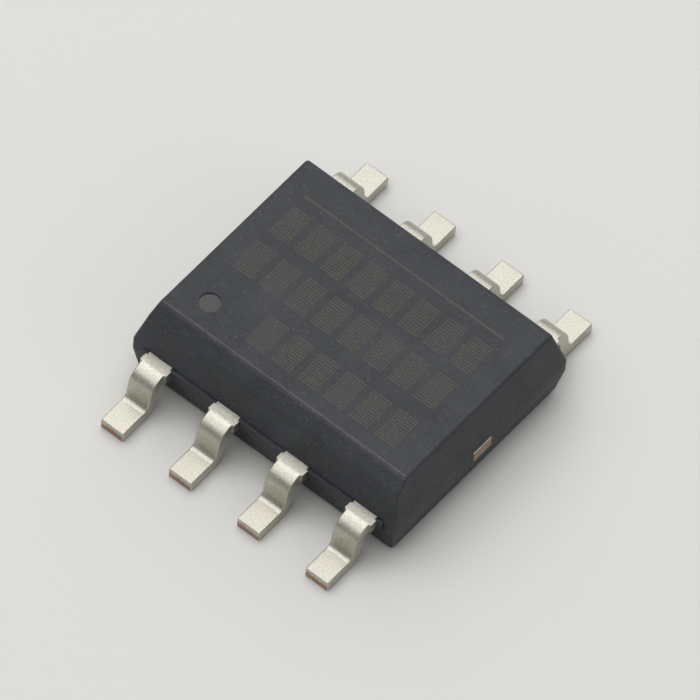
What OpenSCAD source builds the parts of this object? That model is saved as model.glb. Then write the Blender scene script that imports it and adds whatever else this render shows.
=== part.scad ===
// Switching regulator in an eight-lead small-outline package with an exposed thermal pad.
// Millimetres. X runs along the lead rows, Y across them and Z up from the board.
// Pin 1 is at -X, -Y, and the pins count anticlockwise seen from above.

/* [Moulded body] */
// Length of the body along the lead rows
body_length = 4.9; // [4.8:0.05:5]
// Width of the body between the lead rows
body_width = 3.9; // [3.8:0.05:4]
// Height of the top face above the board
overall_height = 1.5; // [1.3:0.05:1.7]
// Gap between the board and the underside of the body
standoff = 0.06; // [0.02:0.01:0.15]
// Draft of the upper walls at the short ends, in degrees
end_draft = 13; // [5:1:15]
// Draft of the upper walls along the lead rows, in degrees
side_draft = 17; // [8:1:20]
// Draft of the walls below the leads, in degrees
lower_draft = 10; // [5:1:15]
// Upright land of the parting line above and below the lead frame
land_margin = 0.02; // [0.01:0.01:0.05]
// Bevel along the top edge on the pin 1 side
pin_one_bevel = 0.2; // [0.1:0.05:0.3]
// Diameter of the pin 1 dot
dot_diameter = 0.34; // [0.2:0.02:0.5]
// Depth of the pin 1 dot
dot_depth = 0.02; // [0.01:0.01:0.05]
// Distance from the end of the top face to the middle of the dot
dot_from_end = 0.55; // [0.4:0.05:0.8]
// Distance from the bevelled edge of the top face to the middle of the dot
dot_from_bevel = 0.46; // [0.35:0.01:0.6]

/* [Leads] */
// Distance between neighbouring leads
lead_pitch = 1.27; // [1.2:0.01:1.3]
// Distance from toe to toe across the package
lead_span = 6; // [5.9:0.05:6.2]
// Width of a lead
lead_width = 0.42; // [0.33:0.01:0.51]
// Thickness of the lead frame's copper strip
strip_thickness = 0.2; // [0.18:0.01:0.25]
// Height of the middle of the lead frame above the board
frame_height = 0.66; // [0.62:0.02:0.8]
// Length of the flat sole of a foot
foot_length = 0.45; // [0.4:0.01:0.5]
// Inside radius of the bends in a lead
bend_radius = 0.1; // [0.06:0.01:0.12]
// Lean of the riser from upright, in degrees
riser_lean = 8; // [0:1:12]
// Depth of the inner finger from the body's wall
finger_reach = 0.55; // [0.45:0.01:0.58]
// Width of the bonding end of a finger
finger_width = 0.8; // [0.6:0.02:0.9]
// Shift of a corner lead's bonding end towards the middle
corner_shift = 0.1; // [0:0.01:0.15]
// Length of the narrow neck that the resin grips
neck_length = 0.2; // [0.15:0.01:0.25]
// Distance from the body to the cut of the dam bar
dam_gap = 0.06; // [0.03:0.01:0.1]
// Length of the dam bar's stub along a lead
dam_length = 0.12; // [0.08:0.01:0.15]
// Overhang of the dam bar's stub on each side of a lead
dam_stub = 0.03; // [0.01:0.01:0.05]
// Thickness of the resin ledge left between the leads
ledge_thickness = 0.16; // [0.1:0.01:0.17]
// Length of the resin ledge past the outer leads
ledge_overrun = 0.12; // [0.05:0.01:0.2]

/* [Thermal pad] */
// Length of the exposed face along the lead rows
pad_length = 3.3; // [3.15:0.05:3.45]
// Width of the exposed face across the lead rows
pad_width = 2.41; // [2.26:0.05:2.56]
// Overhang of the coined lip that the resin holds
pad_lip = 0.12; // [0.08:0.01:0.15]
// Drop of the exposed face below the body's underside
pad_proud = 0.01; // [0.005:0.005:0.015]
// Width of a tie bar
tie_width = 0.4; // [0.3:0.05:0.6]
// Stub of a tie bar outside the body
tie_stub = 0.02; // [0.01:0.01:0.05]
// Flat length of a tie bar inside the body's end wall
tie_flat = 0.1; // [0.05:0.01:0.2]
// Inside radius of the bends in a tie bar
tie_radius = 0.04; // [0.02:0.01:0.06]

/* [Die and wires] */
// Length of the die along the lead rows
die_length = 1.9; // [1.6:0.05:2.2]
// Width of the die across the lead rows
die_width = 1.5; // [1.2:0.05:1.7]
// Thickness of the die
die_thickness = 0.25; // [0.15:0.01:0.28]
// Thickness of the bond line under the die
bond_line = 0.03; // [0.02:0.005:0.04]
// Width of the adhesive's fillet around the die
fillet_width = 0.06; // [0.03:0.01:0.1]
// Distance between neighbouring bonding places on the die
bond_pitch = 0.42; // [0.35:0.01:0.48]
// Distance from the die's edge to the bonding places
bond_inset = 0.12; // [0.08:0.01:0.2]
// Diameter of a bond wire
wire_diameter = 0.05; // [0.03:0.005:0.06]
// Diameter of the flattened ball on the die
ball_diameter = 0.1; // [0.08:0.005:0.12]
// Height of the flattened ball
ball_height = 0.03; // [0.02:0.005:0.04]
// Rise of a wire's loop above its ball
loop_rise = 0.3; // [0.25:0.01:0.4]
// Length of the flattened stitch on the finger
stitch_length = 0.08; // [0.05:0.01:0.12]
// Thickness of the flattened stitch
stitch_height = 0.024; // [0.015:0.001:0.03]
// Width of the flattened stitch
stitch_width = 0.1; // [0.06:0.01:0.12]
// Distance from the finger's tip to the end of the stitch
stitch_inset = 0.2; // [0.15:0.01:0.22]
// Distance between the two wires of a power pin
twin_gap = 0.16; // [0.14:0.01:0.2]

/* [Hidden] */
leads_per_row = 4;
pin_count = 2 * leads_per_row;
// Pins 2 to 4 carry the input, switch and ground currents, so each has two wires
twin_wired = [false, true, true, true, false, false, false, false];

mould_colour = "#2c2d2f";
tin_colour = "#cfcdc2";
silicon_colour = "#5b6472";
adhesive_colour = "#a9a59a";
wire_colour = "#b87333";

bend_steps = 12;
wire_steps = 8;
wire_sides = 8;
// Spare length on shapes that only trim others
spare = 0.5;

frame_top = frame_height + strip_thickness / 2;
frame_bottom = frame_height - strip_thickness / 2;
pad_bottom = standoff - pad_proud;
pad_middle = pad_bottom + strip_thickness / 2;
pad_top = pad_bottom + strip_thickness;
die_bottom = pad_top + bond_line;
die_top = die_bottom + die_thickness;

land_top = frame_top + land_margin;
land_bottom = frame_bottom - land_margin;
top_half_length = body_length / 2 - (overall_height - land_top) * tan(end_draft);
bevel_start = overall_height - pin_one_bevel;
bevel_wall = body_width / 2 - (bevel_start - land_top) * tan(side_draft);
bevel_edge = bevel_wall - pin_one_bevel;

// The tie bars' slope follows from the room between the body's end wall and the paddle
tie_bend = tie_radius + strip_thickness / 2;
tie_run = body_length / 2 - tie_flat - pad_length / 2 - pad_lip;
tie_fall = frame_height - pad_middle - 2 * tie_bend;
tie_turn = atan2(tie_fall, tie_run) + asin(2 * tie_bend / norm([tie_run, tie_fall]));

row_reach = (leads_per_row - 1) / 2 * lead_pitch;
finger_tip = body_width / 2 - finger_reach;

// Which row a pin is in, as the sign of its Y
function pin_side(pin) = pin <= leads_per_row ? -1 : 1;

// A pin's place in its row, from 0 at -X
function pin_place(pin) = pin <= leads_per_row ? pin - 1 : pin_count - pin;

function pin_x(pin) = pin_place(pin) * lead_pitch - row_reach;

// A corner lead's bonding end leans towards the middle of the package
function finger_shift(pin) =
    pin_place(pin) == 0 ? corner_shift : pin_place(pin) == leads_per_row - 1 ? -corner_shift : 0;

function reversed(list) = [for (i = [len(list) - 1 : -1 : 0]) list[i]];

function arc(centre, radius, from, to) = [
    for (i = [0 : bend_steps])
        let (angle = from + (to - from) * i / bend_steps)
        centre + radius * [cos(angle), sin(angle)]
];

// One edge of a strip that steps down from one level to another through two equal bends,
// at a distance to the left of the strip's middle line. The second bend ends at step_end.
function stepped_edge(start, high, step_end, low, end, turn, radius, side) =
    let (
        upright = high - low - 2 * radius * (1 - cos(turn)),
        step_start = step_end - 2 * radius * sin(turn) - upright / tan(turn)
    )
    concat(
        [[start, high + side]],
        arc([step_start, high - radius], radius + side, 90, 90 - turn),
        arc([step_end, low + radius], radius - side, 270 - turn, 270),
        [[end, low + side]]
    );

function lead_edge(side) =
    stepped_edge(
        finger_tip, frame_height,
        lead_span / 2 - foot_length, strip_thickness / 2, lead_span / 2,
        90 - riser_lean, bend_radius + strip_thickness / 2, side
    );

function tie_edge(side) =
    stepped_edge(
        -body_length / 2 - tie_stub, frame_height,
        -pad_length / 2 - pad_lip, pad_middle, -pad_length / 2,
        tie_turn, tie_bend, side
    );

function mirrored_in_x(points) = [for (point = points) [-point.x, point.y]];

// Body: two drafted halves that meet at an upright land, with a ledge of resin between the leads
module end_section() {
    upper = (overall_height - land_top) * tan(end_draft);
    lower = (land_bottom - standoff) * tan(lower_draft);
    half = [
        [body_length / 2 - lower, standoff],
        [body_length / 2, land_bottom],
        [body_length / 2, land_top],
        [body_length / 2 - upper, overall_height]
    ];
    polygon(concat(half, reversed(mirrored_in_x(half))));
}

module side_section() {
    upper = (overall_height - land_top) * tan(side_draft);
    lower = (land_bottom - standoff) * tan(lower_draft);
    polygon([
        [-body_width / 2 + lower, standoff],
        [body_width / 2 - lower, standoff],
        [body_width / 2, land_bottom],
        [body_width / 2, land_top],
        [body_width / 2 - upper, overall_height],
        [-bevel_edge, overall_height],
        [-bevel_wall, bevel_start],
        [-body_width / 2, land_top],
        [-body_width / 2, land_bottom]
    ]);
}

module drafted_body() {
    intersection() {
        rotate([90, 0, 90])
            linear_extrude(body_length + spare, center = true)
                side_section();
        rotate([90, 0, 0])
            linear_extrude(body_width + spare, center = true)
                end_section();
    }
}

module resin_ledge() {
    length = 2 * (row_reach + lead_width / 2 + ledge_overrun);
    width = body_width + 2 * dam_gap;
    translate([0, 0, frame_height])
        cube([length, width, ledge_thickness], center = true);
}

module pin_one_dot() {
    translate([dot_from_end - top_half_length, dot_from_bevel - bevel_edge, overall_height - dot_depth])
        cylinder(d = dot_diameter, h = 2 * dot_depth, $fn = 48);
}

// The resin fills every space that the frame, die and wires leave
module mould_body() {
    color(mould_colour)
        difference() {
            union() {
                drafted_body();
                resin_ledge();
            }
            for (pin = [1 : pin_count])
                lead(pin);
            thermal_pad();
            die_attach();
            silicon_die();
            for (pin = [1 : pin_count])
                bond_wire(pin);
            pin_one_dot();
        }
}

// Lead: the blank's outline from above, formed to the gull-wing profile
module lead_profile() {
    polygon(concat(lead_edge(-strip_thickness / 2), reversed(lead_edge(strip_thickness / 2))));
}

module lead_blank(shift) {
    half = lead_width / 2;
    stub = half + dam_stub;
    shoulder = body_width / 2 + dam_gap;
    neck = body_width / 2 - neck_length;
    left = shift - finger_width / 2;
    right = shift + finger_width / 2;
    toe = lead_span / 2;
    polygon([
        [left, finger_tip],
        [right, finger_tip],
        [right, neck],
        [half, neck],
        [half, shoulder],
        [stub, shoulder],
        [stub, shoulder + dam_length],
        [half, shoulder + dam_length],
        [half, toe],
        [-half, toe],
        [-half, shoulder + dam_length],
        [-stub, shoulder + dam_length],
        [-stub, shoulder],
        [-half, shoulder],
        [-half, neck],
        [left, neck]
    ]);
}

module formed_lead(shift) {
    intersection() {
        rotate([90, 0, 90])
            linear_extrude(2 * lead_pitch, center = true)
                lead_profile();
        translate([0, 0, -spare])
            linear_extrude(frame_top + 2 * spare)
                lead_blank(shift);
    }
}

module lead(pin) {
    color(tin_colour)
        translate([pin_x(pin), 0, 0])
            mirror([0, pin_side(pin) < 0 ? 1 : 0, 0])
                formed_lead(finger_shift(pin));
}

// Thermal pad: the frame's paddle, set down to the underside on its two tie bars
module pad_profile() {
    low = tie_edge(-strip_thickness / 2);
    high = tie_edge(strip_thickness / 2);
    polygon(concat(
        low, reversed(mirrored_in_x(low)),
        mirrored_in_x(high), reversed(high)
    ));
}

module pad_blank() {
    paddle_length = pad_length + 2 * pad_lip;
    paddle_width = pad_width + 2 * pad_lip;
    square([paddle_length, paddle_width], center = true);
    square([body_length + spare, tie_width], center = true);
}

// The coining tool thins the rim from below and leaves the exposed face
module coined_rim() {
    difference() {
        translate([0, 0, pad_middle - spare / 2])
            cube([body_length, body_width, spare], center = true);
        cube([pad_length, pad_width, 2 * spare], center = true);
    }
}

module thermal_pad() {
    color(tin_colour)
        difference() {
            intersection() {
                rotate([90, 0, 0])
                    linear_extrude(body_width, center = true)
                        pad_profile();
                translate([0, 0, -spare])
                    linear_extrude(frame_top + 2 * spare)
                        pad_blank();
            }
            coined_rim();
        }
}

// Die attach: a thin slab of adhesive whose fillet runs out under the die
module fillet_section(length) {
    polygon([
        [-length / 2 - fillet_width, 0],
        [length / 2 + fillet_width, 0],
        [length / 2, bond_line],
        [-length / 2, bond_line]
    ]);
}

module die_attach() {
    color(adhesive_colour)
        translate([0, 0, pad_top])
            intersection() {
                rotate([90, 0, 90])
                    linear_extrude(die_length + spare, center = true)
                        fillet_section(die_width);
                rotate([90, 0, 0])
                    linear_extrude(die_width + spare, center = true)
                        fillet_section(die_length);
            }
}

module silicon_die() {
    color(silicon_colour)
        translate([-die_length / 2, -die_width / 2, die_bottom])
            cube([die_length, die_width, die_thickness]);
}

// Bond wire: a ball on the die, a loop and a stitch on the finger, swept as one tube
function bezier(points, t) =
    pow(1 - t, 3) * points[0] + 3 * t * pow(1 - t, 2) * points[1]
    + 3 * t * t * (1 - t) * points[2] + pow(t, 3) * points[3];

function bezier_slope(points, t) =
    pow(1 - t, 2) * (points[1] - points[0]) + 2 * t * (1 - t) * (points[2] - points[1])
    + t * t * (points[3] - points[2]);

// Rings of the tube as [distance, height, slope, half height, half width]
function wire_rings(span) =
    let (
        ball = ball_diameter / 2,
        wire = wire_diameter / 2,
        neck = die_top + ball_height,
        flat = stitch_height / 2 / sin(90 - 180 / wire_sides),
        bed = frame_top + stitch_height / 2,
        heel = span - stitch_length,
        loop = [
            [0, neck + wire],
            [0, neck + wire + loop_rise],
            [heel / 2, neck + wire + loop_rise],
            [heel - wire_diameter, frame_top + wire_diameter]
        ]
    )
    concat(
        [[0, die_top, 90, ball, ball], [0, neck, 90, ball, ball]],
        [
            for (i = [0 : wire_steps])
                let (
                    place = bezier(loop, i / wire_steps),
                    slope = bezier_slope(loop, i / wire_steps)
                )
                [place.x, place.y, atan2(slope.y, slope.x), wire, wire]
        ],
        [[heel, bed, 0, flat, stitch_width / 2], [span, bed, 0, flat, stitch_width / 2]]
    );

function ring_points(ring) = [
    for (k = [0 : wire_sides - 1])
        let (
            angle = 360 * (k + 0.5) / wire_sides,
            up = ring[3] * sin(angle)
        )
        [ring[0] - up * sin(ring[2]), ring[4] * cos(angle), ring[1] + up * cos(ring[2])]
];

module swept_wire(span) {
    rings = wire_rings(span);
    last = (len(rings) - 1) * wire_sides;
    points = [for (ring = rings) each ring_points(ring)];
    walls = [
        for (first = [0 : wire_sides : last - 1], k = [0 : wire_sides - 1])
            let (
                a = first + k,
                b = first + (k + 1) % wire_sides
            )
            each [[a, a + wire_sides, b], [b, a + wire_sides, b + wire_sides]]
    ];
    ends = [
        [for (k = [0 : wire_sides - 1]) k],
        [for (k = [wire_sides - 1 : -1 : 0]) last + k]
    ];
    polyhedron(points, concat(walls, ends));
}

module bond_wire(pin) {
    die_place = [
        (pin_place(pin) - (leads_per_row - 1) / 2) * bond_pitch,
        pin_side(pin) * (die_width / 2 - bond_inset)
    ];
    finger_place = [
        pin_x(pin) + finger_shift(pin),
        pin_side(pin) * (finger_tip + stitch_inset)
    ];
    reach = finger_place - die_place;
    twin = twin_wired[pin - 1];
    color(wire_colour)
        for (offset = twin ? [-twin_gap / 2, twin_gap / 2] : [0])
            translate([die_place.x + offset, die_place.y, 0])
                rotate(atan2(reach.y, reach.x))
                    swept_wire(norm(reach));
}

mould_body();
for (pin = [1 : pin_count]) {
    lead(pin);
}
thermal_pad();
die_attach();
silicon_die();
for (pin = [1 : pin_count]) {
    bond_wire(pin);
}
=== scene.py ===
# %% [markdown]
# # A switching regulator chip
#
# The real part is a black epoxy block about five millimetres long, with four bent metal leads along each
# of its two long sides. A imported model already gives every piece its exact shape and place.
# We load that model first and treat it as fixed: everything below only dresses it.

# %% Load the frame
import math

import bmesh
import bpy
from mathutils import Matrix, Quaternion, Vector


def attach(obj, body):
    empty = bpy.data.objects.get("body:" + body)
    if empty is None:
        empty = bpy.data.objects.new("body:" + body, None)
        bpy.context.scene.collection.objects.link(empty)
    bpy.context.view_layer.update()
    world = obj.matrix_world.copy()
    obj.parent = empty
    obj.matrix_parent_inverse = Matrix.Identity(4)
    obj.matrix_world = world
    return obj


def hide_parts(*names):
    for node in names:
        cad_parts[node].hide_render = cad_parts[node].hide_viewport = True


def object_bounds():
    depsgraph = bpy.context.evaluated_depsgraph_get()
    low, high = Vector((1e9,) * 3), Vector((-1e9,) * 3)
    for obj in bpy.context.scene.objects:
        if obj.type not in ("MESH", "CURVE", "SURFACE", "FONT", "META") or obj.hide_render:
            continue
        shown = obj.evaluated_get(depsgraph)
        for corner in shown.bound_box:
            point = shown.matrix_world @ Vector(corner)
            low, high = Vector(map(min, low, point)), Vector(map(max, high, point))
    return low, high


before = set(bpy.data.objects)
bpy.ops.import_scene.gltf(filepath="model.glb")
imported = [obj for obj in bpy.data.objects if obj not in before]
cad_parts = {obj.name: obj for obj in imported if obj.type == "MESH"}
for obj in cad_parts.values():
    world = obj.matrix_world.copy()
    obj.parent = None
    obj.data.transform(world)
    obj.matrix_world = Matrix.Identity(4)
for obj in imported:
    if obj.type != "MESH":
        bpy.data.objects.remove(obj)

MM = 0.001
scene = bpy.context.scene
cad_low, cad_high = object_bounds()
print("box in mm", [round(size / MM, 3) for size in cad_high - cad_low], "nodes", len(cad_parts))

# %% [markdown]
# ## Camera
#
# The chip is seen from above its pin 4 corner, through a long lens, so that parallel edges stay almost
# parallel. The view is stated as an azimuth, an elevation and a roll, which is easier to check against a
# picture than a matrix. A positive roll turns the camera to the left, so the chip leans to the right.

# %% Place the camera
VIEW_AZIMUTH = 34.06
VIEW_ELEVATION = 56.05
VIEW_ROLL = 6.58
CAMERA_DISTANCE = 251 * MM
LENS = 900
CLIP_START = 1 * MM
CLIP_END = 10.0


def direction(azimuth, elevation):
    """A unit vector away from the chip: azimuth 0 is its pin 1 side, and 90 is its right end."""
    around, up = math.radians(azimuth), math.radians(elevation)
    return Vector((math.sin(around) * math.cos(up), -math.cos(around) * math.cos(up), math.sin(up)))


centre = (cad_low + cad_high) / 2
camera = bpy.data.objects.new("camera", bpy.data.cameras.new("camera"))
scene.collection.objects.link(camera)
towards = direction(VIEW_AZIMUTH, VIEW_ELEVATION)
camera.location = centre + towards * CAMERA_DISTANCE
roll = Quaternion((0, 0, 1), math.radians(VIEW_ROLL))
camera.rotation_mode = "QUATERNION"
camera.rotation_quaternion = (-towards).to_track_quat("-Z", "Y") @ roll
camera.data.lens = LENS
camera.data.clip_start = CLIP_START
camera.data.clip_end = CLIP_END
scene.camera = camera
print("camera at", [round(place / MM, 1) for place in camera.location], "mm")

# %% [markdown]
# ## Small helpers
#
# Colours are written as the sRGB hex values that a paint program shows, but a shader mixes light, which is
# linear, so one function turns the first into the second. Another adds a node with its settings and links,
# so that a material reads as a list of its nodes. Most sockets go by name. The values of a Math node share
# one name, and so do a Mix node's sockets for numbers, vectors and colours, so those go by number.

# %% Colours and nodes
COLOUR_A, COLOUR_B, COLOUR_RESULT = 6, 7, 2


def linear(hex_colour):
    """An sRGB hex colour as linear red, green, blue and alpha."""
    shares = [int(hex_colour[i : i + 2], 16) / 255 for i in (1, 3, 5)]
    return [s / 12.92 if s <= 0.04045 else ((s + 0.055) / 1.055) ** 2.4 for s in shares] + [1.0]


def add(tree, kind, inputs=None, **settings):
    """Adds a node. Inputs are values or sockets to link, by the name or number of the socket."""
    node = tree.nodes.new(kind)
    for name, value in settings.items():
        setattr(node, name, value)
    for key, value in (inputs or {}).items():
        if isinstance(value, bpy.types.NodeSocket):
            tree.links.new(value, node.inputs[key])
        else:
            node.inputs[key].default_value = value
    return node


def new_material(name):
    """An empty node material, and its tree."""
    material = bpy.data.materials.new(name)
    material.use_nodes = True
    material.node_tree.nodes.clear()
    return material, material.node_tree


print("middle grey is", [round(share, 3) for share in linear("#808080")])

# %% [markdown]
# ## Table
#
# The chip stands on its feet on a plain pale table. One large flat face is enough for that, because only
# its colour and the soft shadow on it show.

# %% Table
TABLE_SIDE = 2.0
TABLE_COLOUR = "#e4e3df"
TABLE_ROUGHNESS = 0.7


def build_table():
    """A square face at the height of the soles."""
    half = TABLE_SIDE / 2
    mesh = bpy.data.meshes.new("table")
    corners = [(-half, -half, 0), (half, -half, 0), (half, half, 0), (-half, half, 0)]
    mesh.from_pydata(corners, [], [(0, 1, 2, 3)])
    material, tree = new_material("painted board, matte")
    shader = add(
        tree,
        "ShaderNodeBsdfPrincipled",
        {"Base Color": linear(TABLE_COLOUR), "Roughness": TABLE_ROUGHNESS},
    )
    add(tree, "ShaderNodeOutputMaterial", {"Surface": shader.outputs["BSDF"]})
    mesh.materials.append(material)
    table = bpy.data.objects.new("table", mesh)
    scene.collection.objects.link(table)


build_table()
print("table side", TABLE_SIDE, "m")

# %% [markdown]
# ## Lamps
#
# Satin metal shows what it reflects, so the lamps are large and soft. The main one hangs above the chip's
# pin 1 corner, where the bends of the leads mirror it towards the camera. The one behind does the same for
# the flat feet and gives the top its sheen, and a weak one opens up the right end. A lamp of eighteen
# centimetres is huge beside a part of six millimetres, and the wider it is for its power, the softer it
# shows in the metal.

# %% Softboxes and world
WORLD_COLOUR = "#f2f3f4"
WORLD_STRENGTH = 0.28


def softbox(name, azimuth, elevation, distance, side, watts):
    """A square soft lamp that points at the chip."""
    lamp = bpy.data.lights.new(name, "AREA")
    lamp.shape = "SQUARE"
    lamp.size = side
    lamp.energy = watts
    away = direction(azimuth, elevation)
    holder = bpy.data.objects.new(name, lamp)
    holder.location = away * distance
    holder.rotation_mode = "QUATERNION"
    holder.rotation_quaternion = (-away).to_track_quat("-Z", "Y")
    scene.collection.objects.link(holder)


softbox("main softbox", azimuth=315, elevation=70, distance=150 * MM, side=180 * MM, watts=0.14)
softbox("back softbox", azimuth=210, elevation=50, distance=160 * MM, side=180 * MM, watts=0.12)
softbox("end softbox", azimuth=95, elevation=30, distance=160 * MM, side=100 * MM, watts=0.012)

world = bpy.data.worlds.new("studio")
world.use_nodes = True
background = world.node_tree.nodes["Background"]
background.inputs["Color"].default_value = linear(WORLD_COLOUR)
background.inputs["Strength"].default_value = WORLD_STRENGTH
scene.world = world
scene.view_settings.view_transform = "Standard"

# %% [markdown]
# ## Specks of filler
#
# The block is epoxy filled with ground silica and a little carbon black. Where a grain of silica lies near
# the surface, it shows as a pale speck. Voronoi cells make the grains, because each cell also has a random
# colour, which picks the few that show. A texture's scale is one over the size of its features. Real grains
# are about 0.02 mm; they are drawn a little over twice as large, so that they show.

# %% Specks of filler
GRAIN = 0.045 * MM
RARE_GRAIN = 0.9
SPECK_RIM = 0.45
SPECK_CORE = 0.15
SPECK_SHARE = 0.55


def specks(tree, place):
    """The share of the filler's colour: zero, but for the few grains that lie near the surface."""
    grains = add(tree, "ShaderNodeTexVoronoi", {"Vector": place, "Scale": 1 / GRAIN})
    chance = add(tree, "ShaderNodeSeparateColor", {"Color": grains.outputs["Color"]})
    rare = add(tree, "ShaderNodeMath", {0: chance.outputs["Red"], 1: RARE_GRAIN}, operation="GREATER_THAN")
    near = add(
        tree,
        "ShaderNodeMapRange",
        {
            "Value": grains.outputs["Distance"],
            "From Min": SPECK_RIM,
            "From Max": SPECK_CORE,
            "To Max": SPECK_SHARE,
        },
    )
    speck = add(
        tree,
        "ShaderNodeMath",
        {0: rare.outputs["Value"], 1: near.outputs["Result"]},
        operation="MULTIPLY",
    )
    return speck.outputs["Value"]


print("one grain in", round(1 / (1 - RARE_GRAIN)), "shows")

# %% [markdown]
# ## Mould compound
#
# The filled epoxy was pressed into a steel mould whose walls were eroded by sparks. That gives a dark
# charcoal with a soft sheen and a fine pebbled skin. A coarse noise makes clouds in its tone, and a fine
# one makes the pebbles, for bump and sheen alike. Noise seldom strays far from one half, so only the middle
# of its range is spread over the tones. Real pebbles are about 0.02 mm; they are drawn at twice that, so
# that they show. The plain steel pin that pressed the pin 1 dot left a smoother face, a little paler.

# %% Mould compound
COMPOUND_DARK = "#272a2f"
COMPOUND_LIGHT = "#32353a"
PIN_FACE_DARK = "#373533"
PIN_FACE_LIGHT = "#413e3a"
SPECK_COLOUR = "#5d5c5a"
CLOUD = 0.6 * MM
PEBBLE = 0.04 * MM
ERODED_HEIGHT = 0.014 * MM
PIN_FACE_HEIGHT = 0.002 * MM
ERODED_ROUGHNESS = 0.6
PIN_FACE_ROUGHNESS = 0.42
SHEEN_SPREAD = 0.07
EPOXY_IOR = 1.55
NOISE_RANGE = {"From Min": 0.35, "From Max": 0.65}
WIDE_NOISE_RANGE = {"From Min": 0.3, "From Max": 0.7}


def mould_compound(name, dark, light, roughness, pebble_height):
    """Filled epoxy in two tones, with a pebbled skin."""
    material, tree = new_material(name)
    place = add(tree, "ShaderNodeTexCoord").outputs["Object"]
    cloud = add(tree, "ShaderNodeTexNoise", {"Vector": place, "Scale": 1 / CLOUD, "Detail": 4.0})
    pebbles = add(tree, "ShaderNodeTexNoise", {"Vector": place, "Scale": 1 / PEBBLE, "Detail": 3.0})
    tone = add(tree, "ShaderNodeMapRange", {"Value": cloud.outputs["Fac"], **NOISE_RANGE})
    resin = add(
        tree,
        "ShaderNodeMix",
        {"Factor": tone.outputs["Result"], COLOUR_A: linear(dark), COLOUR_B: linear(light)},
        data_type="RGBA",
    )
    filled = add(
        tree,
        "ShaderNodeMix",
        {
            "Factor": specks(tree, place),
            COLOUR_A: resin.outputs[COLOUR_RESULT],
            COLOUR_B: linear(SPECK_COLOUR),
        },
        data_type="RGBA",
    )
    sheen = add(
        tree,
        "ShaderNodeMapRange",
        {
            "Value": pebbles.outputs["Fac"],
            **WIDE_NOISE_RANGE,
            "To Min": roughness - SHEEN_SPREAD,
            "To Max": roughness + SHEEN_SPREAD,
        },
    )
    skin = add(tree, "ShaderNodeBump", {"Height": pebbles.outputs["Fac"], "Distance": pebble_height})
    shader = add(
        tree,
        "ShaderNodeBsdfPrincipled",
        {
            "Base Color": filled.outputs[COLOUR_RESULT],
            "Roughness": sheen.outputs["Result"],
            "IOR": EPOXY_IOR,
            "Normal": skin.outputs["Normal"],
        },
    )
    add(tree, "ShaderNodeOutputMaterial", {"Surface": shader.outputs["BSDF"]})
    return material


eroded_compound = mould_compound(
    "moulded epoxy, spark-eroded", COMPOUND_DARK, COMPOUND_LIGHT, ERODED_ROUGHNESS, ERODED_HEIGHT
)
plain_compound = mould_compound(
    "moulded epoxy, pin face", PIN_FACE_DARK, PIN_FACE_LIGHT, PIN_FACE_ROUGHNESS, PIN_FACE_HEIGHT
)
print("made", eroded_compound.name, "and", plain_compound.name)

# %% [markdown]
# ## Bare copper
#
# The leads and the pad under the chip are copper strip with a plated coat of tin. Where a lead or tie bar
# was cut off after plating, the copper core is bare, apart from the tin that the blade smeared over the
# edge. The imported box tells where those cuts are, so the material finds them by their place.

# %% Bare copper at the cuts
CUT_DEPTH = 0.003 * MM
SMEAR_LOW = 0.096 * MM
SMEAR_HIGH = 0.144 * MM
toe_end = cad_high.y - CUT_DEPTH
tie_end = cad_high.x - CUT_DEPTH


def bare_copper(tree, place, ragged):
    """One on the cut ends of the tie bars, and on the cut toes below a ragged line of smeared tin."""
    axes = add(tree, "ShaderNodeSeparateXYZ", {"Vector": place})
    along = add(tree, "ShaderNodeMath", {0: axes.outputs["X"]}, operation="ABSOLUTE").outputs["Value"]
    across = add(tree, "ShaderNodeMath", {0: axes.outputs["Y"]}, operation="ABSOLUTE").outputs["Value"]
    line = add(
        tree,
        "ShaderNodeMapRange",
        {"Value": ragged, **WIDE_NOISE_RANGE, "To Min": SMEAR_LOW, "To Max": SMEAR_HIGH},
    ).outputs["Result"]
    low = add(tree, "ShaderNodeMath", {0: axes.outputs["Z"], 1: line}, operation="LESS_THAN")
    toe = add(tree, "ShaderNodeMath", {0: across, 1: toe_end}, operation="GREATER_THAN")
    tie = add(tree, "ShaderNodeMath", {0: along, 1: tie_end}, operation="GREATER_THAN")
    low_toe = add(
        tree, "ShaderNodeMath", {0: toe.outputs["Value"], 1: low.outputs["Value"]}, operation="MULTIPLY"
    )
    bare = add(
        tree, "ShaderNodeMath", {0: low_toe.outputs["Value"], 1: tie.outputs["Value"]}, operation="MAXIMUM"
    )
    return bare.outputs["Value"]


print("copper shows past", round(toe_end / MM, 3), "mm at a toe,", round(tie_end / MM, 3), "at a tie bar")

# %% [markdown]
# ## Tin plate
#
# Plating grows tiny crystals, so matte tin is pale, warm and satin rather than mirror bright. Bending drags
# it over steel tools and leaves faint lines along each lead, which a stretched noise makes. The tone
# follows the crystals and, less so, wide patches. Crystals of about 0.005 mm are drawn at 0.025 mm, so that
# they show.

# %% Tin plate on copper
TIN_DARK = "#b2afa4"
TIN_LIGHT = "#cecbbf"
COPPER_DARK = "#8c6f5d"
COPPER_LIGHT = "#b49883"
CRYSTAL = 0.025 * MM
CRYSTAL_HEIGHT = 0.002 * MM
PATCH = 0.3 * MM
PATCH_SHARE = 0.3
DRAG_WIDTH = 0.03 * MM
DRAG_LENGTH = 0.9 * MM
DRAG_DEPTH = 0.0025 * MM
SATIN_LOW = 0.37
SATIN_HIGH = 0.43
NOISE_MIDDLE = 0.5
TONE_SPREAD = 0.2


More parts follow.
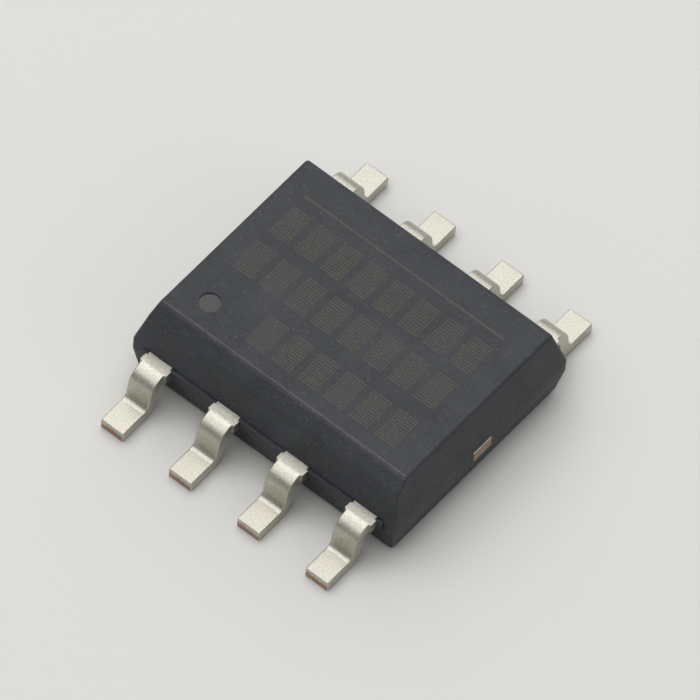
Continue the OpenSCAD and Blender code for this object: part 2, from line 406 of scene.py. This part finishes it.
def tin_plate(name):
    """Matte tin over copper strip."""
    material, tree = new_material(name)
    place = add(tree, "ShaderNodeTexCoord").outputs["Object"]
    crystals = add(tree, "ShaderNodeTexNoise", {"Vector": place, "Scale": 1 / CRYSTAL, "Detail": 2.0})
    patches = add(tree, "ShaderNodeTexNoise", {"Vector": place, "Scale": 1 / PATCH, "Detail": 3.0})
    stretch = (1 / DRAG_WIDTH, 1 / DRAG_LENGTH, 1 / DRAG_LENGTH)
    drawn_out = add(tree, "ShaderNodeMapping", {"Vector": place, "Scale": stretch}).outputs["Vector"]
    drag = add(tree, "ShaderNodeTexNoise", {"Vector": drawn_out, "Scale": 1.0, "Detail": 2.0})
    both = add(
        tree,
        "ShaderNodeMath",
        {0: patches.outputs["Fac"], 1: PATCH_SHARE, 2: crystals.outputs["Fac"]},
        operation="MULTIPLY_ADD",
    )
    middle = NOISE_MIDDLE * (1 + PATCH_SHARE)
    tone = add(
        tree,
        "ShaderNodeMapRange",
        {
            "Value": both.outputs["Value"],
            "From Min": middle - TONE_SPREAD,
            "From Max": middle + TONE_SPREAD,
        },
    ).outputs["Result"]
    tin = add(
        tree,
        "ShaderNodeMix",
        {"Factor": tone, COLOUR_A: linear(TIN_DARK), COLOUR_B: linear(TIN_LIGHT)},
        data_type="RGBA",
    )
    core = add(
        tree,
        "ShaderNodeMix",
        {"Factor": tone, COLOUR_A: linear(COPPER_DARK), COLOUR_B: linear(COPPER_LIGHT)},
        data_type="RGBA",
    )
    metal = add(
        tree,
        "ShaderNodeMix",
        {
            "Factor": bare_copper(tree, place, drag.outputs["Fac"]),
            COLOUR_A: tin.outputs[COLOUR_RESULT],
            COLOUR_B: core.outputs[COLOUR_RESULT],
        },
        data_type="RGBA",
    )
    satin = add(
        tree,
        "ShaderNodeMapRange",
        {"Value": patches.outputs["Fac"], **WIDE_NOISE_RANGE, "To Min": SATIN_LOW, "To Max": SATIN_HIGH},
    )
    lines = add(tree, "ShaderNodeBump", {"Height": drag.outputs["Fac"], "Distance": DRAG_DEPTH})
    skin = add(
        tree,
        "ShaderNodeBump",
        {"Height": crystals.outputs["Fac"], "Distance": CRYSTAL_HEIGHT, "Normal": lines.outputs["Normal"]},
    )
    shader = add(
        tree,
        "ShaderNodeBsdfPrincipled",
        {
            "Base Color": metal.outputs[COLOUR_RESULT],
            "Metallic": 1.0,
            "Roughness": satin.outputs["Result"],
            "Normal": skin.outputs["Normal"],
        },
    )
    add(tree, "ShaderNodeOutputMaterial", {"Surface": shader.outputs["BSDF"]})
    return material


plated_tin = tin_plate("matte tin plate on copper")
print("made", plated_tin.name)

# %% [markdown]
# ## Copies of the fixed pieces
#
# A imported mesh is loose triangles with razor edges, and it may not be changed. So we copy its triangles,
# merge the corners that meet and dissolve the lines inside flat faces. What is left are the real edges of
# the piece, and those can take a small bevel, because no moulded or stamped edge is truly sharp. A profile
# of one half makes the bevel round.

# %% Copy and bevel
MERGE = 0.00001 * MM
FLAT_ANGLE = math.radians(0.5)
ROUND_PROFILE = 0.5


def copy_shape(node):
    """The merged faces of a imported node, free to be changed."""
    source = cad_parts[node].data
    shape = bmesh.new()
    corners = [shape.verts.new(vertex.co) for vertex in source.vertices]
    for polygon in source.polygons:
        shape.faces.new([corners[i] for i in polygon.vertices])
    bmesh.ops.remove_doubles(shape, verts=shape.verts[:], dist=MERGE)
    bmesh.ops.dissolve_limit(shape, angle_limit=FLAT_ANGLE, verts=shape.verts[:], edges=shape.edges[:])
    shape.normal_update()
    return shape


def bevel(shape, edges, radius, segments):
    """Rounds some edges of a shape."""
    bmesh.ops.bevel(
        shape,
        geom=edges,
        offset=radius,
        segments=segments,
        profile=ROUND_PROFILE,
        affect="EDGES",
        clamp_overlap=True,
    )
    shape.normal_update()


print("corners within", round(MERGE / MM, 6), "mm are merged")

# %% [markdown]
# ## Shading
#
# Smooth shading blends the normals where faces meet, so a bevel would tilt the light on the flat faces
# beside it too. Weighing each corner's normal by area keeps a flat face flat. Blender has a Weighted Normal
# modifier for that, but its result changes with the size of a mesh: it keeps the flats of a lead a thousand
# times larger, and tilts those of this one by up to fifty degrees. So a few lines do it here.

# %% Weigh the normals
SMOOTH_ANGLE = 50
WEIGHED = "weighed normal"


def weigh_normals(shape):
    """Notes in each corner of a shape its normal, by the area of the faces that meet there smoothly."""
    layer = shape.loops.layers.float_vector.new(WEIGHED)
    areas = {face: face.calc_area() for face in shape.faces}
    least_cosine = math.cos(math.radians(SMOOTH_ANGLE))
    for face in shape.faces:
        for corner in face.loops:
            total = Vector()
            for other in corner.vert.link_faces:
                if other.normal.dot(face.normal) > least_cosine:
                    total += other.normal * areas[other]
            corner[layer] = total.normalized()


print("faces blend up to", SMOOTH_ANGLE, "degrees")

# %% [markdown]
# ## Triangles
#
# Some flat faces have dozens of corners, and in the end every face is drawn as triangles. Left to chance,
# some of those are needles, or have no area at all where corners lie in line. So we cut such faces here and
# ask for stout triangles. Blender finds those on a large shape, but not all of them on one of a few
# millimetres, so the shape is blown up for the cut. A power of two brings it back exactly. In a bevelled
# shape, the order of the new triangles changes from run to run. In a fresh copy of it, the order stays.

# %% Cut the flats and finish a piece
MANY_CORNERS = 5
BLOW_UP = 1024


def cut_flats(shape):
    """A fresh copy of a shape, with its faces of many corners cut into stout triangles."""
    fresh = shape.copy()
    many = [face for face in fresh.faces if len(face.verts) >= MANY_CORNERS]
    bmesh.ops.scale(fresh, vec=(BLOW_UP,) * 3, verts=fresh.verts[:])
    bmesh.ops.triangulate(fresh, faces=many, ngon_method="BEAUTY")
    bmesh.ops.scale(fresh, vec=(1 / BLOW_UP,) * 3, verts=fresh.verts[:])
    return fresh


def finish_piece(name, shape, node, materials):
    """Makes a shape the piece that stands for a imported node."""
    weigh_normals(shape)
    cut = cut_flats(shape)
    shape.free()
    mesh = bpy.data.meshes.new(name)
    cut.to_mesh(mesh)
    cut.free()
    mesh.shade_smooth()
    mesh.normals_split_custom_set([corner.vector.copy() for corner in mesh.attributes[WEIGHED].data])
    mesh.attributes.remove(mesh.attributes[WEIGHED])
    for material in materials:
        mesh.materials.append(material)
    piece = bpy.data.objects.new(name, mesh)
    scene.collection.objects.link(piece)
    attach(piece, "root")
    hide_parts(node)
    print(name, "has", len(mesh.polygons), "faces")


print("a face of", MANY_CORNERS, "corners or more is cut")

# %% [markdown]
# ## Body
#
# Only the outside edges of the block are rounded. They are found by a simple test: an outer face has no
# part of the block in front of it. The ledge of resin between the leads stands out a little further, so
# its points are left out of the test. The floor of the pin 1 dot gets the smoother compound.

# %% Body
BODY_EDGE = 0.05 * MM
BODY_EDGE_STEPS = 4
BODY_CREASE = math.radians(25)
DOT_REACH = 0.1 * MM
UPWARD = 0.99
TOUCH = 0.0005 * MM

body = copy_shape("mould_body")
body_top = max(vertex.co.z for vertex in body.verts)
body_end = max(vertex.co.x for vertex in body.verts)
half_width = max(abs(vertex.co.y) for vertex in body.verts if abs(vertex.co.x) > body_end - TOUCH)
block = [vertex.co.copy() for vertex in body.verts if abs(vertex.co.y) < half_width + TOUCH]


def is_outer(face):
    """Whether nothing of the block lies in front of a face."""
    corner = face.verts[0].co
    return max((point - corner).dot(face.normal) for point in block) < TOUCH


outer = {face.index for face in body.faces if is_outer(face)}
rim = [
    edge
    for edge in body.edges
    if edge.calc_face_angle(0) > BODY_CREASE and all(face.index in outer for face in edge.link_faces)
]
bevel(body, rim, BODY_EDGE, BODY_EDGE_STEPS)
dot_floor = [
    face
    for face in body.faces
    if face.normal.z > UPWARD and body_top - DOT_REACH < face.calc_center_median().z < body_top - TOUCH
]
for face in dot_floor:
    face.material_index = 1
print("outer faces", len(outer), "rounded edges", len(rim), "dot faces", len(dot_floor))
finish_piece("moulded_body", body, "mould_body", [eroded_compound, plain_compound])

# %% [markdown]
# ## Leads
#
# Each lead is blanked from strip by a punch, which rolls its edges a little, and is then bent over a
# former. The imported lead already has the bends, so only its edges outside the body are rounded. The two
# stubs beside its shoulder stay crisp, because a blade shears them last. The fine steps of a bend meet at a
# few degrees, far under the angle that counts as an edge, and shade as one curve.

# %% Leads
LEAD_EDGE = 0.02 * MM
LEAD_EDGE_STEPS = 2
STAMPED_CREASE = math.radians(50)


def formed_edges(lead):
    """The stamped edges of a lead outside the body, without those of its stubs."""
    toe = max(abs(vertex.co.y) for vertex in lead.verts)
    toe_places = [vertex.co.x for vertex in lead.verts if abs(vertex.co.y) > toe - TOUCH]
    left, right = min(toe_places) - TOUCH, max(toe_places) + TOUCH

    def is_formed(vertex):
        return abs(vertex.co.y) > half_width - TOUCH and left < vertex.co.x < right

    return [
        edge
        for edge in lead.edges
        if edge.calc_face_angle_signed(0) > STAMPED_CREASE and all(map(is_formed, edge.verts))
    ]


for node in sorted(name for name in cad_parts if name.startswith("lead_")):
    lead = copy_shape(node)
    bevel(lead, formed_edges(lead), LEAD_EDGE, LEAD_EDGE_STEPS)
    finish_piece("plated_" + node, lead, node, [plated_tin])

# %% [markdown]
# ## Thermal pad
#
# The pad is the part of the same plated strip that carries the die. Its underside lies bare in the bottom
# of the block, to be soldered to the board, and the cut ends of its two tie bars show at the short ends.
# The resin covers its edges, so it needs no bevel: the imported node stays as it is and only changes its
# material.

# %% Thermal pad


def dress_node(node, material):
    """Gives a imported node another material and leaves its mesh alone."""
    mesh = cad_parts[node].data
    mesh.materials.clear()
    mesh.materials.append(material)
    print(node, "is", material.name)


dress_node("thermal_pad", plated_tin)

# %% [markdown]
# ## Adhesive under the die
#
# A thin layer of epoxy, packed with silver flakes, glues the die to the pad and carries its heat away.
# The resin hides it, but it is a piece of the model, so it gets its real finish too: a pale grey whose
# cells of Voronoi texture are flakes, each with its own tone and shine.

# %% Silver adhesive
FLAKE = 0.015 * MM
FLAKE_DARK = "#8f8b82"
FLAKE_LIGHT = "#bdb9ae"
BRIGHTEST_FLAKE = 0.35
DULLEST_FLAKE = 0.7
SILVER_SHARE = 0.4


def flake_adhesive(name):
    """Cured epoxy that is packed with silver flakes."""
    material, tree = new_material(name)
    place = add(tree, "ShaderNodeTexCoord").outputs["Object"]
    flakes = add(tree, "ShaderNodeTexVoronoi", {"Vector": place, "Scale": 1 / FLAKE})
    chance = add(tree, "ShaderNodeSeparateColor", {"Color": flakes.outputs["Color"]})
    colour = add(
        tree,
        "ShaderNodeMix",
        {"Factor": chance.outputs["Red"], COLOUR_A: linear(FLAKE_DARK), COLOUR_B: linear(FLAKE_LIGHT)},
        data_type="RGBA",
    )
    shine = add(
        tree,
        "ShaderNodeMapRange",
        {"Value": chance.outputs["Green"], "To Min": BRIGHTEST_FLAKE, "To Max": DULLEST_FLAKE},
    )
    shader = add(
        tree,
        "ShaderNodeBsdfPrincipled",
        {
            "Base Color": colour.outputs[COLOUR_RESULT],
            "Metallic": SILVER_SHARE,
            "Roughness": shine.outputs["Result"],
        },
    )
    add(tree, "ShaderNodeOutputMaterial", {"Surface": shader.outputs["BSDF"]})
    return material


dress_node("die_attach", flake_adhesive("cured epoxy with silver flakes"))

# %% [markdown]
# ## Die
#
# The die is a chip of polished silicon. Its circuit lies in blocks under a clear coat of silicon nitride,
# which gives a glassy slate grey with a grid of paler metal. A brick texture lays out such blocks in one
# node. It counts in widths of a brick, so the other sizes are divided by that.

# %% Silicon die
BLOCK_WIDTH = 0.3 * MM
BLOCK_HEIGHT = 0.18 * MM
METAL_LINE = 0.009 * MM
BLOCK_DARK = "#4c5566"
BLOCK_LIGHT = "#6a6f78"
CIRCUIT_METAL = "#8d8a80"
METAL_SHARE = 0.3
POLISHED_ROUGHNESS = 0.15
NITRIDE_IOR = 2.0


def polished_silicon(name):
    """Blocks of circuit under a clear coat."""
    material, tree = new_material(name)
    place = add(tree, "ShaderNodeTexCoord").outputs["Object"]
    blocks = add(
        tree,
        "ShaderNodeTexBrick",
        {
            "Vector": place,
            "Color1": linear(BLOCK_DARK),
            "Color2": linear(BLOCK_LIGHT),
            "Mortar": linear(CIRCUIT_METAL),
            "Scale": 1 / BLOCK_WIDTH,
            "Mortar Size": METAL_LINE / BLOCK_WIDTH,
            "Brick Width": 1.0,
            "Row Height": BLOCK_HEIGHT / BLOCK_WIDTH,
        },
    )
    shader = add(
        tree,
        "ShaderNodeBsdfPrincipled",
        {
            "Base Color": blocks.outputs["Color"],
            "Metallic": METAL_SHARE,
            "Roughness": POLISHED_ROUGHNESS,
            "IOR": NITRIDE_IOR,
        },
    )
    add(tree, "ShaderNodeOutputMaterial", {"Surface": shader.outputs["BSDF"]})
    return material


dress_node("silicon_die", polished_silicon("polished silicon under nitride"))

# %% [markdown]
# ## Bond wires
#
# Copper wire of a twentieth of a millimetre joins the die to the leads. It was drawn through ever smaller
# holes, which leaves it bright, with faint tones along it. A fine noise between two coppers is enough for
# a wire that thin.

# %% Bond wires
DRAW_MARK = 0.006 * MM
WIRE_DARK = "#b06a42"
WIRE_LIGHT = "#d39a72"
WIRE_ROUGHNESS = 0.25


def drawn_copper(name):
    """Bright drawn wire in two tones."""
    material, tree = new_material(name)
    place = add(tree, "ShaderNodeTexCoord").outputs["Object"]
    marks = add(tree, "ShaderNodeTexNoise", {"Vector": place, "Scale": 1 / DRAW_MARK, "Detail": 2.0})
    colour = add(
        tree,
        "ShaderNodeMix",
        {"Factor": marks.outputs["Fac"], COLOUR_A: linear(WIRE_DARK), COLOUR_B: linear(WIRE_LIGHT)},
        data_type="RGBA",
    )
    shader = add(
        tree,
        "ShaderNodeBsdfPrincipled",
        {"Base Color": colour.outputs[COLOUR_RESULT], "Metallic": 1.0, "Roughness": WIRE_ROUGHNESS},
    )
    add(tree, "ShaderNodeOutputMaterial", {"Surface": shader.outputs["BSDF"]})
    return material


wire_copper = drawn_copper("drawn copper wire")
for node in sorted(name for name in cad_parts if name.startswith("bond_wire_")):
    dress_node(node, wire_copper)

# %% [markdown]
# ## Laser-marked skin
#
# A laser scans the top of a chip line by line and roughens the skin, which leaves a mark a little paler and
# warmer than the resin, with no shine. Noise makes the charred grain, as one texture for both tone and
# bump, because the pale grains are the ones that stand up.

# %% Laser-marked skin
MARK_DARK = "#494641"
MARK_LIGHT = "#5f5b54"
MARK_ROUGHNESS = 0.85
CHAR = 0.03 * MM
CHAR_HEIGHT = 0.01 * MM


def lasered_skin(name):
    """Resin that a laser has charred and roughened."""
    material, tree = new_material(name)
    place = add(tree, "ShaderNodeTexCoord").outputs["Object"]
    char = add(tree, "ShaderNodeTexNoise", {"Vector": place, "Scale": 1 / CHAR, "Detail": 3.0})
    tone = add(tree, "ShaderNodeMapRange", {"Value": char.outputs["Fac"], **NOISE_RANGE})
    colour = add(
        tree,
        "ShaderNodeMix",
        {"Factor": tone.outputs["Result"], COLOUR_A: linear(MARK_DARK), COLOUR_B: linear(MARK_LIGHT)},
        data_type="RGBA",
    )
    skin = add(tree, "ShaderNodeBump", {"Height": char.outputs["Fac"], "Distance": CHAR_HEIGHT})
    shader = add(
        tree,
        "ShaderNodeBsdfPrincipled",
        {
            "Base Color": colour.outputs[COLOUR_RESULT],
            "Roughness": MARK_ROUGHNESS,
            "IOR": EPOXY_IOR,
            "Normal": skin.outputs["Normal"],
        },
    )
    add(tree, "ShaderNodeOutputMaterial", {"Surface": shader.outputs["BSDF"]})
    return material


marked_skin = lasered_skin("moulded epoxy, laser-marked")
print("made", marked_skin.name)

# %% [markdown]
# ## A tree that hatches cells
#
# Our mark is a generic one: a rule along the far edge and three rows of plain hatched cells. The strokes in
# a cell and the cells in a row both repeat, so a Geometry Nodes tree makes them. It puts a thin stroke on
# every point of an upright line, and that cell on every point of a level line. Sizes are inputs of the
# tree, so the same tree draws the rule, as one long cell of one stroke.

# %% Tree that hatches a row of cells
ROW_INPUTS = {
    "Cells": "NodeSocketInt",
    "Cell Pitch": "NodeSocketFloat",
    "Strokes": "NodeSocketInt",
    "Stroke Pitch": "NodeSocketFloat",
    "Stroke Size": "NodeSocketVector",
    "Start": "NodeSocketVector",
    "Skin": "NodeSocketMaterial",
}


def hatched_row_tree():
    """A row of cells, each hatched with level strokes. Start is the middle of the first stroke."""
    tree = bpy.data.node_groups.new("hatched row", "GeometryNodeTree")
    for name, kind in ROW_INPUTS.items():
        tree.interface.new_socket(name, in_out="INPUT", socket_type=kind)
    tree.interface.new_socket("Mesh", in_out="OUTPUT", socket_type="NodeSocketGeometry")
    given = add(tree, "NodeGroupInput").outputs
    right = add(tree, "ShaderNodeCombineXYZ", {"X": given["Cell Pitch"]}).outputs["Vector"]
    up = add(tree, "ShaderNodeCombineXYZ", {"Y": given["Stroke Pitch"]}).outputs["Vector"]
    places = add(
        tree,
        "GeometryNodeMeshLine",
        {"Count": given["Cells"], "Start Location": given["Start"], "Offset": right},
    )
    levels = add(tree, "GeometryNodeMeshLine", {"Count": given["Strokes"], "Offset": up})
    stroke = add(tree, "GeometryNodeMeshCube", {"Size": given["Stroke Size"]})
    cell = add(
        tree,
        "GeometryNodeInstanceOnPoints",
        {"Points": levels.outputs["Mesh"], "Instance": stroke.outputs["Mesh"]},
    )
    row = add(
        tree,
        "GeometryNodeInstanceOnPoints",
        {"Points": places.outputs["Mesh"], "Instance": cell.outputs["Instances"]},
    )
    real = add(tree, "GeometryNodeRealizeInstances", {"Geometry": row.outputs["Instances"]})
    marked = add(
        tree,
        "GeometryNodeSetMaterial",
        {"Geometry": real.outputs["Geometry"], "Material": given["Skin"]},
    )
    add(tree, "NodeGroupOutput", {"Mesh": marked.outputs["Geometry"]})
    return tree


row_tree = hatched_row_tree()
print("tree inputs", list(ROW_INPUTS))

# %% [markdown]
# ## Marks on the top
#
# The strokes are thin plates that straddle the skin of the block, so that no face of theirs lies in it. The
# lowest row leaves out its first two cells, which makes room for the pin 1 dot. The modifier's inputs are
# set by the sockets' identifiers, and the result is kept as a plain mesh.

# %% Draw the marks
MARK_MIDDLE = -0.05 * MM
ROW_CELLS = 8
CELL_PITCH = 0.48 * MM
CELL_WIDTH = 0.36 * MM
CELL_HEIGHT = 0.58 * MM
STROKE_PITCH = 0.05 * MM
STROKE_WIDTH = 0.026 * MM
STROKE_THICKNESS = 0.002 * MM
RULE_WIDTH = 0.04 * MM
RULE_PLACE = 1.2 * MM
ROW_PLACES = [0.4 * MM, -0.41 * MM, -1.28 * MM]
CELLS_LEFT_OUT = [0, 0, 2]
mark_length = (ROW_CELLS - 1) * CELL_PITCH + CELL_WIDTH
mark_left = MARK_MIDDLE - mark_length / 2


def draw_marks(name, inputs):
    """Runs the tree with its inputs and keeps the result as a plain mesh."""
    piece = bpy.data.objects.new(name, bpy.data.meshes.new(name))
    scene.collection.objects.link(piece)
    modifier = piece.modifiers.new("hatch", "NODES")
    modifier.node_group = row_tree
    for item in row_tree.interface.items_tree:
        if item.in_out == "INPUT":
            modifier[item.identifier] = inputs[item.name]
    depsgraph = bpy.context.evaluated_depsgraph_get()
    mesh = bpy.data.meshes.new_from_object(piece.evaluated_get(depsgraph))
    piece.modifiers.clear()
    piece.data = mesh
    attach(piece, "root")
    print(name, "has", len(mesh.polygons), "faces")


for row, (place, left_out) in enumerate(zip(ROW_PLACES, CELLS_LEFT_OUT), 1):
    first_cell = mark_left + left_out * CELL_PITCH + CELL_WIDTH / 2
    draw_marks(
        f"mark_row_{row}",
        {
            "Cells": ROW_CELLS - left_out,
            "Cell Pitch": CELL_PITCH,
            "Strokes": round(CELL_HEIGHT / STROKE_PITCH),
            "Stroke Pitch": STROKE_PITCH,
            "Stroke Size": (CELL_WIDTH, STROKE_WIDTH, STROKE_THICKNESS),
            "Start": (first_cell, place, body_top),
            "Skin": marked_skin,
        },
    )
draw_marks(
    "mark_rule",
    {
        "Cells": 1,
        "Cell Pitch": 0.0,
        "Strokes": 1,
        "Stroke Pitch": 0.0,
        "Stroke Size": (mark_length, RULE_WIDTH, STROKE_THICKNESS),
        "Start": (MARK_MIDDLE, RULE_PLACE, body_top),
        "Skin": marked_skin,
    },
)
